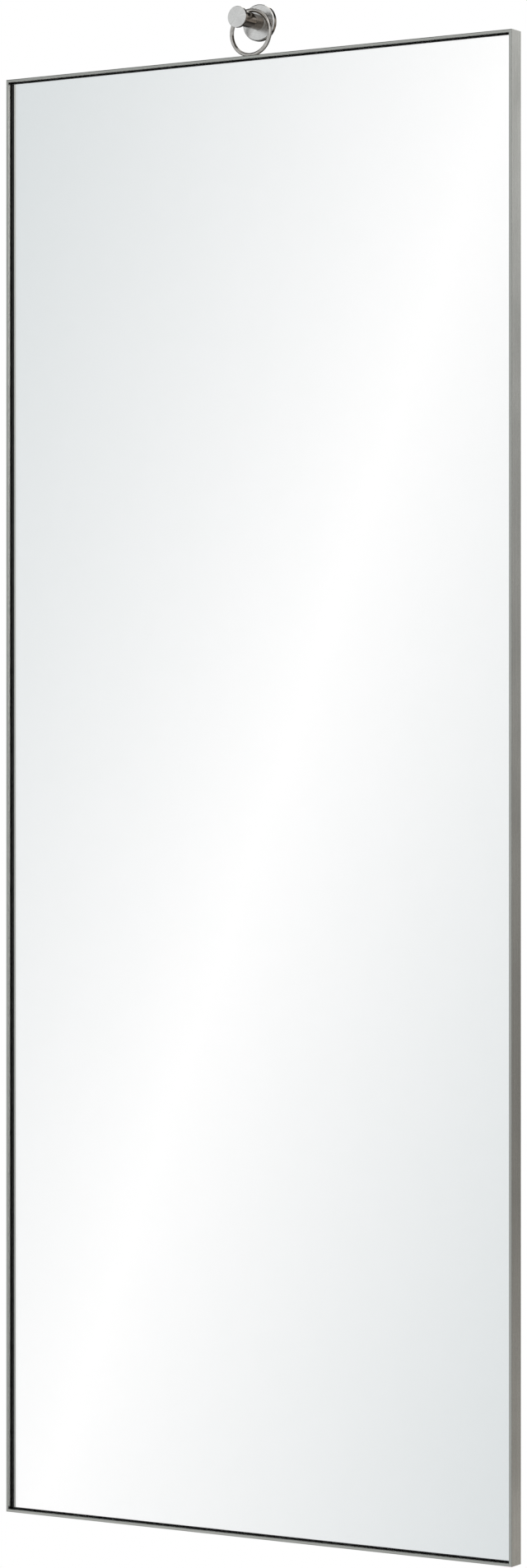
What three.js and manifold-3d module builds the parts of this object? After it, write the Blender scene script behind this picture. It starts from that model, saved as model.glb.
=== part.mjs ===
// A tall wall mirror in a thin flat-bar steel frame, hung by a ring from a round wall peg.
// Millimetres. The origin is where the peg's axis meets the wall.
// +X is right, +Y goes into the wall, +Z is up, and the mirror faces -Y.

import * as THREE from 'three';
import { mergeVertices } from 'three/addons/utils/BufferGeometryUtils.js';
import Module from 'manifold-3d';

// ---------------------------------------------------------------- driving dimensions

// Frame: flat bar on edge, mitred at the corners
const frameWidth = 610;
const frameHeight = 1524;
const barThickness = 3;
const barChamfer = 0.4;
const wallGap = 2; // between the frame's back and the wall

// What the frame holds, from front to back
const glassRecess = 4.7; // from the frame's front edge back to the glass
const glassThickness = 4;
const filmThickness = 0.3; // silvering and the safety film over it
const masticThickness = 1.5;
const boardThickness = 8;
const bracketThickness = 1.5;

// Black strips that fill the gap between the glass and the bars
const linerThickness = 1;
const linerSetback = 0.5; // of the strip's front edge behind the face of the glass

// Mastic dabs that glue the glass to its board
const masticRadius = 40;
const masticColumns = 2;
const masticRows = 3;

// Corner brackets and side tabs, welded inside the bars and screwed to the board
const bracketLeg = 55;
const bracketTip = 10; // width left at the end of each leg
const tabWidth = 25;
const tabLength = 40;
const screwInset = 8; // from the bar's inner face
const screwFromTip = 12; // from the end of the bracket's leg

// Pan-head screws
const screwRadius = 1.5;
const screwHeadRadius = 3.5;
const screwHeadClearance = 0.5; // between a screw's head and the wall
const screwCover = 2.5; // board left in front of a screw's tip

// Pads between the brackets and the wall
const bumperRadius = 8;
const bumperMargin = 10; // from the bars to the pad's edge

// Hanging ring, ground flat where it stands on the top bar
const ringOuterRadius = 25;
const ringWireRadius = 2.1;
const ringFlat = 1.5; // depth ground off the ring
const ringEdgeMargin = 0.2; // from the bar's front edge to the wire
const hangClearance = 0.3; // between the ring and the peg's sleeve

// Weld bead behind the ring
const weldHalfLength = 6;
const weldWidth = 2.4;
const weldHeight = 1.8;

// Wall peg
const flangeRadius = 19;
const flangeThickness = 5.3;
const flangeChamfer = 1;
const flangeRelief = 0.8; // depth of the hollow behind it, round the wall plug's mouth
const sleeveRadius = 8;
const sleeveWall = 1.8;
const sleeveLength = 36;
const bushLip = 0.8; // thickness of the collar at each end of the sleeve
const bushLength = 8; // of the part inside the sleeve
const headLip = 3; // how far the head stands out past the sleeve
const headThickness = 4;
const headChamfer = 0.5;
const headFace = 1; // metal left in front of the stud

// Stud, nut, set screw and wall plug
const studRadius = 3;
const studInWall = 40;
const studPoint = 7; // length of the stud's pointed end
const nutFlats = 10; // across the flats
const nutThickness = 3.2;
const nutSunk = 0.1; // of the nut below the flange's face
const setScrewRadius = 1.25;
const setScrewSunk = 0.5; // below the head's rim
const plugRadius = 5;
const plugLength = 46;
const plugCollar = 1; // height and width of the collar at the plug's mouth
const plugMouth = 0.5; // of the plug's mouth behind the wall's face
const plugBarbs = 5;
const barbHeight = 0.8;

// Clearances
const looseFit = 0.3; // a piece round or inside another
const bushFit = 0.2; // a bush in the sleeve
const endPlay = 0.1; // of the sleeve between the flange and the head

// How finely round pieces are drawn
const turnedSides = 40;
const smallSides = 14;
const wireSides = 12;
const ringSides = 56;

// ---------------------------------------------------------------- places

// Planes of the mirror, from the wall forwards
const frameDepth = glassRecess + glassThickness + filmThickness + masticThickness + boardThickness
  + bracketThickness;
const frameBackY = -wallGap;
const bracketFrontY = frameBackY - bracketThickness;
const boardFrontY = bracketFrontY - boardThickness;
const masticFrontY = boardFrontY - masticThickness;
const filmFrontY = masticFrontY - filmThickness;
const glassFrontY = filmFrontY - glassThickness;
const frameFrontY = frameBackY - frameDepth;
const screwTipY = boardFrontY + screwCover;

// The ring hangs on the sleeve, and the frame hangs from the ring
const ringInnerRadius = ringOuterRadius - 2 * ringWireRadius;
const ringCentreZ = sleeveRadius + hangClearance - ringInnerRadius;
const ringPlaneY = frameFrontY + ringWireRadius + ringEdgeMargin;
const frameTopZ = ringCentreZ - ringOuterRadius + ringFlat;
const frameBottomZ = frameTopZ - frameHeight;
const frameMiddleZ = frameTopZ - frameHeight / 2;

// Rectangles that lie one inside the other, by their distance in from the frame's outside
const linerInset = barThickness;
const glassInset = barThickness + linerThickness;
const glassHalfWidth = frameWidth / 2 - glassInset;
const glassHalfHeight = frameHeight / 2 - glassInset;

// Planes of the peg, from the wall forwards
const sleeveBackY = -flangeThickness - endPlay - bushLip;
const sleeveFrontY = sleeveBackY - sleeveLength;
const headBackY = sleeveFrontY - bushLip - endPlay;
const headFrontY = headBackY - headThickness;
const headBoreY = headFrontY + headFace;
const headRadius = sleeveRadius + headLip;
const sleeveBore = sleeveRadius - sleeveWall;
const nutRecess = nutThickness + nutSunk;
const nutCornerRadius = nutFlats / Math.sqrt(3);

// ---------------------------------------------------------------- finishes

const finishes = {
  brushedSteel: { color: 0xa3a39e, metalness: 1, roughness: 0.38 },
  polishedSteel: { color: 0x8d8883, metalness: 1, roughness: 0.14 },
  weldedSteel: { color: 0x86847f, metalness: 1, roughness: 0.55 },
  zincSteel: { color: 0xb4b6b4, metalness: 1, roughness: 0.42 },
  clearGlass: { color: 0xe9efee, metalness: 0, roughness: 0.02, transparent: true, opacity: 0.35 },
  silvering: { color: 0xf2f4f4, metalness: 1, roughness: 0.03 },
  blackFoam: { color: 0x0b0b0b, metalness: 0, roughness: 0.9 },
  blackBoard: { color: 0x1b1a19, metalness: 0, roughness: 0.8 },
  mastic: { color: 0xd8d2c4, metalness: 0, roughness: 0.7 },
  rubberPad: { color: 0x2a2a2a, metalness: 0, roughness: 0.85 },
  paleNylon: { color: 0xd9d7cf, metalness: 0, roughness: 0.5 },
  greyNylon: { color: 0x9c9d9b, metalness: 0, roughness: 0.6 },
};

// ---------------------------------------------------------------- solids

const wasm = await Module();
wasm.setup();

function toSolid(geometry) {
  const bare = geometry.clone();
  bare.deleteAttribute('normal');
  bare.deleteAttribute('uv');
  const closed = mergeVertices(bare, 1e-4);
  return new wasm.Manifold(new wasm.Mesh({
    numProp: 3,
    vertProperties: new Float32Array(closed.getAttribute('position').array),
    triVerts: new Uint32Array(closed.index.array),
  }));
}

function toGeometry(solid) {
  const mesh = solid.getMesh();
  const geometry = new THREE.BufferGeometry();
  geometry.setAttribute('position', new THREE.BufferAttribute(mesh.vertProperties, 3));
  geometry.setIndex(new THREE.BufferAttribute(mesh.triVerts, 1));
  return geometry;
}

function cut(geometry, ...tools) {
  const solid = tools.reduce((left, tool) => left.subtract(toSolid(tool)), toSolid(geometry));
  return toGeometry(solid);
}

// Moves each vertex of a geometry to the place that newPlace gives for it.
function reshape(geometry, newPlace) {
  const vertex = geometry.getAttribute('position');
  for (let i = 0; i < vertex.count; i += 1) {
    vertex.setXYZ(i, ...newPlace(vertex.getX(i), vertex.getY(i), vertex.getZ(i)));
  }
  return geometry;
}

// A flat outline drawn in X and Z, made solid between two planes across Y.
function plate(outline, frontY, backY) {
  const prism = new THREE.ExtrudeGeometry(outline, {
    depth: 1,
    bevelEnabled: false,
    curveSegments: smallSides / 2,
  });
  return reshape(prism, (x, z, layer) => [x, layer > 0.5 ? frontY : backY, z]);
}

// A shape that goes round counterclockwise, so that clockwise holes can be put in it.
function polygon(points) {
  const outline = points.map(([x, z]) => new THREE.Vector2(x, z));
  return new THREE.Shape(THREE.ShapeUtils.isClockWise(outline) ? outline.reverse() : outline);
}

function rectangle(left, right, bottom, top) {
  return polygon([[left, bottom], [right, bottom], [right, top], [left, top]]);
}

function disc(radius) {
  return new THREE.Shape().absarc(0, 0, radius, 0, 2 * Math.PI);
}

function roundHole(x, z, radius) {
  return new THREE.Path().absarc(x, z, radius, 0, 2 * Math.PI, true);
}

// A solid of revolution about Y. Its profile of [radius, y] pairs runs from the front to the
// back, outside the axis, and ends on the axis or back at its first point.
function turned(profile, facets = turnedSides) {
  const points = profile.map(([radius, y]) => new THREE.Vector2(radius, y));
  return new THREE.LatheGeometry(points, facets);
}

// ---------------------------------------------------------------- frame

// A section of the bar: how far in from the frame's outside, and its place across Y.
function barSection() {
  const front = frameFrontY;
  const back = frameBackY;
  const c = barChamfer;
  return polygon([
    [0, front + c], [c, front], [barThickness - c, front], [barThickness, front + c],
    [barThickness, back - c], [barThickness - c, back], [c, back], [0, back - c],
  ]);
}

// The frame's four corners, going round it, each moved in by an inset.
function frameCorner(index, inset) {
  const x = frameWidth / 2 - inset;
  const top = frameTopZ - inset;
  const bottom = frameBottomZ + inset;
  return [[-x, top], [x, top], [x, bottom], [-x, bottom]][index % 4];
}

// A bar runs from one corner to the next, and its mitred ends lie on the corners' diagonals.
function frameBar(cornerIndex) {
  const bar = new THREE.ExtrudeGeometry(barSection(), { depth: 1, bevelEnabled: false });
  return reshape(bar, (inset, y, end) => {
    const [x, z] = frameCorner(cornerIndex + (end > 0.5 ? 1 : 0), inset);
    return [x, y, z];
  });
}

// ---------------------------------------------------------------- what the frame holds

function panel(frontY, backY) {
  const outline = rectangle(
    -glassHalfWidth,
    glassHalfWidth,
    frameMiddleZ - glassHalfHeight,
    frameMiddleZ + glassHalfHeight,
  );
  return plate(outline, frontY, backY);
}

// The board's pilot holes are blind, and stop just past the screws' tips.
function backingBoard() {
  const holeFrontY = screwTipY - looseFit;
  const holes = screwPlaces().map(([x, z]) => {
    const hole = plate(disc(screwRadius + looseFit), holeFrontY, bracketFrontY + looseFit);
    return hole.translate(x, 0, z);
  });
  return cut(panel(boardFrontY, bracketFrontY), ...holes);
}

function liner(left, right, bottom, top) {
  return plate(rectangle(left, right, bottom, top), glassFrontY + linerSetback, bracketFrontY);
}

function linerOutlines() {
  const outerX = frameWidth / 2 - linerInset;
  const outerTop = frameTopZ - linerInset;
  const outerBottom = frameBottomZ + linerInset;
  const innerTop = frameMiddleZ + glassHalfHeight;
  const innerBottom = frameMiddleZ - glassHalfHeight;
  return {
    top: [-outerX, outerX, innerTop, outerTop],
    bottom: [-outerX, outerX, outerBottom, innerBottom],
    left: [-outerX, -glassHalfWidth, innerBottom, innerTop],
    right: [glassHalfWidth, outerX, innerBottom, innerTop],
  };
}

// Where the mastic dabs lie, in even rows and columns over the glass.
function masticPlaces() {
  const places = [];
  for (let row = 0; row < masticRows; row += 1) {
    for (let column = 0; column < masticColumns; column += 1) {
      places.push([
        -glassHalfWidth + 2 * glassHalfWidth * (column + 0.5) / masticColumns,
        frameMiddleZ + glassHalfHeight - 2 * glassHalfHeight * (row + 0.5) / masticRows,
      ]);
    }
  }
  return places;
}

// ---------------------------------------------------------------- brackets, screws and pads

// The inside corners of the frame, with the way that each one's legs point along X and Z.
const corners = [
  { name: 'top_left', x: -1, z: 1 },
  { name: 'top_right', x: 1, z: 1 },
  { name: 'bottom_left', x: -1, z: -1 },
  { name: 'bottom_right', x: 1, z: -1 },
];

const sides = [
  { name: 'left', x: -1 },
  { name: 'right', x: 1 },
];

// A point given by its distances in from the two bars of a corner.
function fromCorner(corner, alongX, alongZ) {
  return [
    corner.x * (frameWidth / 2 - barThickness - alongX),
    frameMiddleZ + corner.z * (frameHeight / 2 - barThickness - alongZ),
  ];
}

function fromSide(side, inset) {
  return [side.x * (frameWidth / 2 - barThickness - inset), frameMiddleZ];
}

function bracketScrews(corner) {
  const along = bracketLeg - screwFromTip;
  return [fromCorner(corner, along, screwInset), fromCorner(corner, screwInset, along)];
}

function cornerBracket(corner) {
  const outline = [
    [0, 0], [bracketLeg, 0], [bracketLeg, bracketTip], [bracketTip, bracketLeg], [0, bracketLeg],
  ].map(([alongX, alongZ]) => fromCorner(corner, alongX, alongZ));
  const shape = polygon(outline);
  for (const [x, z] of bracketScrews(corner)) {
    shape.holes.push(roundHole(x, z, screwRadius + looseFit));
  }
  return plate(shape, bracketFrontY, frameBackY);
}

function sideTab(side) {
  const [barX] = fromSide(side, 0);
  const [endX] = fromSide(side, tabWidth);
  const shape = rectangle(
    Math.min(barX, endX),
    Math.max(barX, endX),
    frameMiddleZ - tabLength / 2,
    frameMiddleZ + tabLength / 2,
  );
  const [screwX, screwZ] = fromSide(side, tabWidth / 2);
  shape.holes.push(roundHole(screwX, screwZ, screwRadius + looseFit));
  return plate(shape, bracketFrontY, frameBackY);
}

function screwPlaces() {
  return [
    ...corners.flatMap((corner) => bracketScrews(corner)),
    ...sides.map((side) => fromSide(side, tabWidth / 2)),
  ];
}

// Its head lies on the bracket's back, and its point goes forwards into the board.
function panHeadScrew() {
  const headBackY = -screwHeadClearance;
  const headCrownRadius = 0.6 * screwHeadRadius;
  return turned([
    [0, screwTipY],
    [screwRadius, screwTipY + screwRadius],
    [screwRadius, frameBackY],
    [screwHeadRadius, frameBackY],
    [screwHeadRadius, (frameBackY + headBackY) / 2],
    [headCrownRadius, headBackY],
    [0, headBackY],
  ], smallSides);
}

function wallBumper() {
  return plate(disc(bumperRadius), frameBackY, 0);
}

// ---------------------------------------------------------------- ring and weld

function ringWire(wireRadius) {
  const centreRadius = ringOuterRadius - ringWireRadius;
  const ring = new THREE.TorusGeometry(centreRadius, wireRadius, wireSides, ringSides);
  return ring.rotateX(Math.PI / 2).translate(0, ringPlaneY, ringCentreZ);
}

// Everything below the top bar's upper face, to trim what stands on it.
function belowTopBar() {
  const reach = 2 * ringOuterRadius;
  return plate(
    rectangle(-reach, reach, frameTopZ - reach, frameTopZ),
    frameFrontY - reach,
    frameBackY + reach,
  );
}

function hangingRing() {
  return cut(ringWire(ringWireRadius), belowTopBar());
}

function ringWeld() {
  const bead = new THREE.SphereGeometry(1, smallSides * 2, smallSides)
    .scale(weldHalfLength, weldWidth, weldHeight)
    .translate(0, ringPlaneY + ringWireRadius, frameTopZ);
  return cut(bead, ringWire(ringWireRadius + looseFit), belowTopBar());
}

// ---------------------------------------------------------------- wall peg

// A round plate, chamfered at its front rim, with a bore for the stud and a recess for the nut.
// Its back is hollow round the plug's collar, so that it lies flat on the wall.
function pegFlange() {
  const bore = studRadius + looseFit;
  const recess = nutCornerRadius + looseFit;
  const recessFloorY = nutRecess - flangeThickness;
  const hollow = plugRadius + plugCollar + looseFit;
  return turned([
    [recess, -flangeThickness],
    [flangeRadius - flangeChamfer, -flangeThickness],
    [flangeRadius, flangeChamfer - flangeThickness],
    [flangeRadius, 0],
    [hollow, 0],
    [hollow, -flangeRelief],
    [bore, -flangeRelief],
    [bore, recessFloorY],
    [recess, recessFloorY],
    [recess, -flangeThickness],
  ]);
}

function flangeNut() {
  const shape = polygon([0, 1, 2, 3, 4, 5].map((corner) => {
    const angle = corner * Math.PI / 3;
    return [nutCornerRadius * Math.cos(angle), nutCornerRadius * Math.sin(angle)];
  }));
  shape.holes.push(roundHole(0, 0, studRadius + looseFit));
  return plate(shape, nutSunk - flangeThickness, nutRecess - flangeThickness);
}

function pegSleeve() {
  return turned([
    [sleeveBore, sleeveFrontY],
    [sleeveRadius, sleeveFrontY],
    [sleeveRadius, sleeveBackY],
    [sleeveBore, sleeveBackY],
    [sleeveBore, sleeveFrontY],
  ]);
}

// A collar at the end of the sleeve and as wide as it, with a part that goes inside it.
// insideY is where that part ends: in front of the rear bush's collar, and behind the front one's.
function sleeveBush(faceY, sleeveEndY, insideY) {
  const bore = studRadius + looseFit;
  const spigot = sleeveBore - bushFit;
  const profile = [
    [bore, insideY],
    [spigot, insideY],
    [spigot, sleeveEndY],
    [sleeveRadius, sleeveEndY],
    [sleeveRadius, faceY],
    [bore, faceY],
    [bore, insideY],
  ];
  return turned(insideY < faceY ? profile : profile.reverse());
}

function pegHead() {
  const bore = studRadius + looseFit;
  const disk = turned([
    [0, headFrontY],
    [headRadius - headChamfer, headFrontY],
    [headRadius, headFrontY + headChamfer],
    [headRadius, headBackY],
    [bore, headBackY],
    [bore, headBoreY],
    [0, headBoreY],
  ]);
  return cut(disk, radialPin(setScrewRadius + looseFit / 2, studRadius, 2 * headRadius));
}

// A round pin that points down from the peg's axis, halfway through the head's thickness.
function radialPin(radius, fromAxis, toAxis) {
  const pin = new THREE.CylinderGeometry(radius, radius, toAxis - fromAxis, smallSides);
  const middleY = (headBackY + headFrontY) / 2;
  return pin.rotateX(Math.PI / 2).translate(0, middleY, -(fromAxis + toAxis) / 2);
}

function headSetScrew() {
  return radialPin(setScrewRadius, studRadius + looseFit, headRadius - setScrewSunk);
}

function hangerStud() {
  const frontY = headBoreY + looseFit;
  const lead = studRadius / 4; // chamfer at the threaded end
  return turned([
    [0, frontY],
    [studRadius - lead, frontY],
    [studRadius, frontY + lead],
    [studRadius, studInWall - studPoint],
    [0, studInWall],
  ]);
}

// A plug with a collar at its mouth and barbs along its outside, closed at its far end.
function wallPlug() {
  const bore = studRadius + looseFit;
  const mouth = plugMouth;
  const end = mouth + plugLength;
  const barbPitch = (plugLength - 2 * plugCollar) / (plugBarbs + 1);
  const profile = [
    [bore, mouth],
    [plugRadius + plugCollar, mouth],
    [plugRadius + plugCollar, mouth + plugCollar],
  ];
  for (let barb = 0; barb < plugBarbs; barb += 1) {
    const start = mouth + plugCollar + barb * barbPitch;
    profile.push([plugRadius - barbHeight, start]);
    profile.push([plugRadius, start + barbPitch]);
  }
  profile.push([plugRadius - barbHeight, end]);
  profile.push([0, end]);
  profile.push([0, studInWall + looseFit]);
  profile.push([bore, studInWall - studPoint + looseFit]);
  profile.push([bore, mouth]);
  return turned(profile);
}

// ---------------------------------------------------------------- assembly

function place(group, name, finish, geometry, position = [0, 0, 0]) {
  const mesh = new THREE.Mesh(geometry, new THREE.MeshStandardMaterial(finishes[finish]));
  mesh.name = name;
  mesh.position.set(...position);
  group.add(mesh);
}

function buildFrame(group) {
  place(group, 'frame_top_bar', 'brushedSteel', frameBar(0));
  place(group, 'frame_right_bar', 'brushedSteel', frameBar(1));
  place(group, 'frame_bottom_bar', 'brushedSteel', frameBar(2));
  place(group, 'frame_left_bar', 'brushedSteel', frameBar(3));
}

function buildGlass(group) {
  place(group, 'mirror_glass', 'clearGlass', panel(glassFrontY, filmFrontY));
  place(group, 'silver_backing', 'silvering', panel(filmFrontY, masticFrontY));
  place(group, 'backing_board', 'blackBoard', backingBoard());
  for (const [side, edges] of Object.entries(linerOutlines())) {
    place(group, `edge_liner_${side}`, 'blackFoam', liner(...edges));
  }
  masticPlaces().forEach(([x, z], index) => {
    const dab = plate(disc(masticRadius), masticFrontY, boardFrontY);
    place(group, `mastic_dab_${index + 1}`, 'mastic', dab, [x, 0, z]);
  });
}

function buildBrackets(group) {
  for (const corner of corners) {
    const padInset = bumperMargin + bumperRadius;
    const [padX, padZ] = fromCorner(corner, padInset, padInset);
    place(group, `corner_bracket_${corner.name}`, 'zincSteel', cornerBracket(corner));
    place(group, `wall_bumper_${corner.name}`, 'rubberPad', wallBumper(), [padX, 0, padZ]);
  }
  for (const side of sides) {
    place(group, `side_tab_${side.name}`, 'zincSteel', sideTab(side));
  }
  screwPlaces().forEach(([x, z], index) => {
    place(group, `bracket_screw_${index + 1}`, 'zincSteel', panHeadScrew(), [x, 0, z]);
  });
}

function buildRing(group) {
  place(group, 'hanging_ring', 'polishedSteel', hangingRing());
  place(group, 'ring_weld', 'weldedSteel', ringWeld());
}

function buildPeg(group) {
  const rearBush = sleeveBush(sleeveBackY + bushLip, sleeveBackY, sleeveBackY - bushLength);
  const frontBush = sleeveBush(sleeveFrontY - bushLip, sleeveFrontY, sleeveFrontY + bushLength);
  place(group, 'wall_plug', 'greyNylon', wallPlug());
  place(group, 'hanger_stud', 'zincSteel', hangerStud());
  place(group, 'peg_flange', 'brushedSteel', pegFlange());
  place(group, 'flange_nut', 'zincSteel', flangeNut());
  place(group, 'rear_bush', 'paleNylon', rearBush);
  place(group, 'peg_sleeve', 'polishedSteel', pegSleeve());
  place(group, 'front_bush', 'paleNylon', frontBush);
  place(group, 'peg_head', 'brushedSteel', pegHead());
  place(group, 'head_set_screw', 'zincSteel', headSetScrew());
}

const hangingMirror = new THREE.Group();
buildFrame(hangingMirror);
buildGlass(hangingMirror);
buildBrackets(hangingMirror);
buildRing(hangingMirror);

const wallPeg = new THREE.Group();
buildPeg(wallPeg);

const group = new THREE.Group();
group.add(hangingMirror, wallPeg);

export default group;
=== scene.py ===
"""The looks of a tall wall mirror in a thin brushed-steel frame, hung by a ring from a round wall peg.

Metres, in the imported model's frame: the origin is where the peg's axis meets the wall, +X is right, +Y goes
into the wall, +Z is up, and the mirror faces -Y.
"""

import math

import bmesh
import bpy
from mathutils import Matrix, Vector


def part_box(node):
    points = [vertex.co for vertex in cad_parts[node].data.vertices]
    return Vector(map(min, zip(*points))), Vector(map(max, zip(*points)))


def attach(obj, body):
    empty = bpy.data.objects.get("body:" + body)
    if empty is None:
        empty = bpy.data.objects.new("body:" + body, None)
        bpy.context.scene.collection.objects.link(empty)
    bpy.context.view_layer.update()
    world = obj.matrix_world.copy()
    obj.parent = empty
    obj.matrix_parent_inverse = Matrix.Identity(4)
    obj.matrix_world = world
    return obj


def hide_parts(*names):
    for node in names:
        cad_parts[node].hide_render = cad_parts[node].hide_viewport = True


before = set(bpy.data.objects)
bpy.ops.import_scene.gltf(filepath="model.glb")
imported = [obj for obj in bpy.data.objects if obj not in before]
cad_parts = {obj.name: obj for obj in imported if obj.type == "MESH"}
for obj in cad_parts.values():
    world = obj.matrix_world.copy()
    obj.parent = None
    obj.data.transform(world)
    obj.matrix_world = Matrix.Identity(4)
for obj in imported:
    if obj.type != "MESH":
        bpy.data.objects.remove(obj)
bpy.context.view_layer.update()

MM = 0.001
scene = bpy.context.scene
scene.view_settings.view_transform = "Standard"

# ---------------------------------------------------------------- sizes of the small detail

EDGE = 0.3 * MM  # rounding of a machined edge
FINE_EDGE = 0.12 * MM  # rounding of a thin or a ground edge
BAR_FRONT_EDGE = 0.9 * MM  # rounding along the frame's outer front edge
HEAD_RIM = 0.7 * MM  # rounding round the face of the peg's head
SILVER_GAP = 0.02 * MM  # between the glass and its silvering, so that their faces stay apart
LOOSE_FIT = 0.3 * MM  # between a hole and what stands in it

ROUND_SIDES = 160
SMALL_SIDES = 48
ARC_STEPS = 4  # of a rounded corner
ALONG_Z = Matrix.Rotation(math.pi / 2, 4, "X")  # stands up along Z what lies along Y
SHARP_ANGLE = math.radians(40)  # two faces that meet at more than this keep a hard line between them

# ---------------------------------------------------------------- shader nodes


class Shader:
    """Adds nodes to the tree of a material, a lamp or the world, and links them."""

    def __init__(self, owner):
        owner.use_nodes = True
        self.tree = owner.node_tree
        self.tree.nodes.clear()

    def add(self, kind, inputs=None, **settings):
        node = self.tree.nodes.new(kind)
        for name, value in settings.items():
            setattr(node, name, value)
        for name, value in (inputs or {}).items():
            self.put(node.inputs[name], value)
        return node

    def put(self, socket, value):
        if isinstance(value, bpy.types.NodeSocket):
            self.tree.links.new(value, socket)
        else:
            socket.default_value = value

    def math(self, operation, first, second=0.0):
        return self.add("ShaderNodeMath", {0: first, 1: second}, operation=operation).outputs[0]

    def times(self, first, second):
        return self.math("MULTIPLY", first, second)

    def weighted(self, first, second, share):
        """A sum of two values, in which the second one has this share."""
        return self.math("ADD", self.times(first, 1 - share), self.times(second, share))

    def dot(self, vector, direction):
        inputs = {0: vector, 1: direction}
        return self.add("ShaderNodeVectorMath", inputs, operation="DOT_PRODUCT").outputs["Value"]

    def scaled(self, vector, scale):
        return self.add("ShaderNodeMapping", {"Vector": vector, "Scale": scale}).outputs[0]

    def spread(self, value, low, high, from_low=0.3, from_high=0.7):
        """Carries a value from one range to another, and stops at the ends of both."""
        inputs = {"Value": value, "From Min": from_low, "From Max": from_high, "To Min": low, "To Max": high}
        return self.add("ShaderNodeMapRange", inputs).outputs[0]

    def noise(self, vector, scale, detail=3.0):
        inputs = {"Vector": vector, "Scale": scale, "Detail": detail, "Roughness": 0.55}
        return self.add("ShaderNodeTexNoise", inputs).outputs[0]

    def ramp(self, value, *stops):
        """A colour ramp. Each stop is a place from 0 to 1 and a colour."""
        node = self.add("ShaderNodeValToRGB", {"Fac": value})
        elements = node.color_ramp.elements
        while len(elements) < len(stops):
            elements.new(0.5)
        for element, (place, colour) in zip(elements, stops):
            element.position = place
            element.color = opaque(colour)
        return node.outputs[0]

    def bump(self, height, distance, strength=1.0):
        inputs = {"Height": height, "Distance": distance, "Strength": strength}
        return self.add("ShaderNodeBump", inputs).outputs[0]

    def place(self):
        return self.add("ShaderNodeTexCoord").outputs["Object"]

    def along_grain(self):
        return self.add("ShaderNodeUVMap", uv_map="grain").outputs[0]

    def mix(self, share, first, second):
        """Goes from one colour to another as the share goes from 0 to 1."""
        inputs = {0: share, 6: first, 7: second}
        return self.add("ShaderNodeMix", inputs, data_type="RGBA").outputs[2]

    def surface(self, kind, inputs):
        """Ends the tree of a material with this kind of shader."""
        shader = self.add(kind, inputs)
        output = self.add("ShaderNodeOutputMaterial")
        self.tree.links.new(shader.outputs[0], output.inputs["Surface"])

    def paint(self, inputs):
        self.surface("ShaderNodeBsdfPrincipled", inputs)


def new_material(name):
    material = bpy.data.materials.new(name)
    return material, Shader(material)


def grey(level, warmth=0.0):
    """A grey, or with some warmth a brownish one."""
    return (level * (1 + warmth), level, level * (1 - warmth))


def opaque(colour):
    return (*colour, 1.0)


# ---------------------------------------------------------------- materials

WHITE = (1.0, 1.0, 1.0, 1.0)


def grained_steel(name, dark, light, roughness, coordinates, tangent, painted_sheen=None):
    """Steel with streaks, and for the peg a painted sheen. coordinates gives a vector that changes slowly
    along the streaks.
    """
    material, shader = new_material(name)
    grain = coordinates(shader)
    fine = shader.noise(grain, 1.0, detail=2.0)
    broad = shader.noise(grain, 0.12)
    streaks = shader.weighted(fine, broad, 0.55)
    # for the peg, painted sheen: light and dark wedges round the axis mixed into the streaks' colour
    if painted_sheen:
        streaks = shader.weighted(streaks, painted_sheen(shader), 0.45)
    blotches = shader.times(shader.noise(shader.place(), 14.0), 0.4)
    wear = shader.math("ADD", fine, blotches)
    shader.paint({
        "Base Color": shader.ramp(streaks, (0.34, dark), (0.66, light)),
        "Metallic": 1.0,
        "Roughness": shader.spread(wear, *roughness, from_low=0.5, from_high=0.9),
        "Anisotropic": 0.75,
        "Anisotropic Rotation": 0.25,  # a highlight spreads across the streaks
        "Tangent": tangent(shader),
        "Normal": shader.bump(fine, 0.01 * MM, 0.6),
    })
    return material


def lengthwise(shader):
    """Streaks about 50 mm long and 0.15 mm wide."""
    return shader.scaled(shader.along_grain(), (20.0, 6500.0, 1.0))


def lengthwise_tangent(shader):
    return shader.add("ShaderNodeTangent", direction_type="UV_MAP", uv_map="grain").outputs[0]


def concentric(shader):
    """Streaks that run round the peg's axis, about 0.1 mm wide."""
    across = 9000.0
    along = 1.5
    x, y, z = shader.add("ShaderNodeSeparateXYZ", {0: shader.place()}).outputs
    squares = shader.math("ADD", shader.times(x, x), shader.times(z, z))
    radius = shader.math("SQRT", squares)
    sideways = shader.math("DIVIDE", x, radius)
    inputs = {0: shader.times(radius, across), 1: shader.times(y, across), 2: shader.times(sideways, along)}
    return shader.add("ShaderNodeCombineXYZ", inputs).outputs[0]


def painted_wedges_of_sheen(shader):
    """Painted sheen: light and dark wedges round the axis, such as the reflection on a turned face shows
    round its middle.
    """
    level = shader.add("ShaderNodeVectorMath", {0: shader.place(), 1: (1, 0, 1)}, operation="MULTIPLY")
    direction = shader.add("ShaderNodeVectorMath", {0: level.outputs[0]}, operation="NORMALIZE")
    return shader.noise(direction.outputs[0], 3.2, detail=2.0)


def concentric_tangent(shader):
    return shader.add("ShaderNodeTangent", direction_type="RADIAL", axis="Y").outputs[0]


def polished_steel(name, dark, light):
    material, shader = new_material(name)
    wear = shader.noise(shader.place(), 260.0, detail=5.0)
    scratches = shader.noise(shader.scaled(shader.place(), (900.0, 120.0, 900.0)), 4.0)
    shader.paint({
        "Base Color": shader.ramp(wear, (0.35, dark), (0.65, light)),
        "Metallic": 1.0,
        "Roughness": shader.spread(scratches, 0.05, 0.12),
        "Normal": shader.bump(scratches, 0.002 * MM, 0.4),
    })
    return material


def welded_steel():
    material, shader = new_material("welded_steel")
    scale_film = shader.noise(shader.place(), 700.0, detail=6.0)
    grains = shader.noise(shader.place(), 3500.0)
    shader.paint({
        "Base Color": shader.ramp(scale_film, (0.3, grey(0.14, 0.12)), (0.7, grey(0.34, 0.06))),
        "Metallic": 1.0,
        "Roughness": shader.spread(grains, 0.38, 0.62),
        "Normal": shader.bump(grains, 0.03 * MM),
    })
    return material


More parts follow.
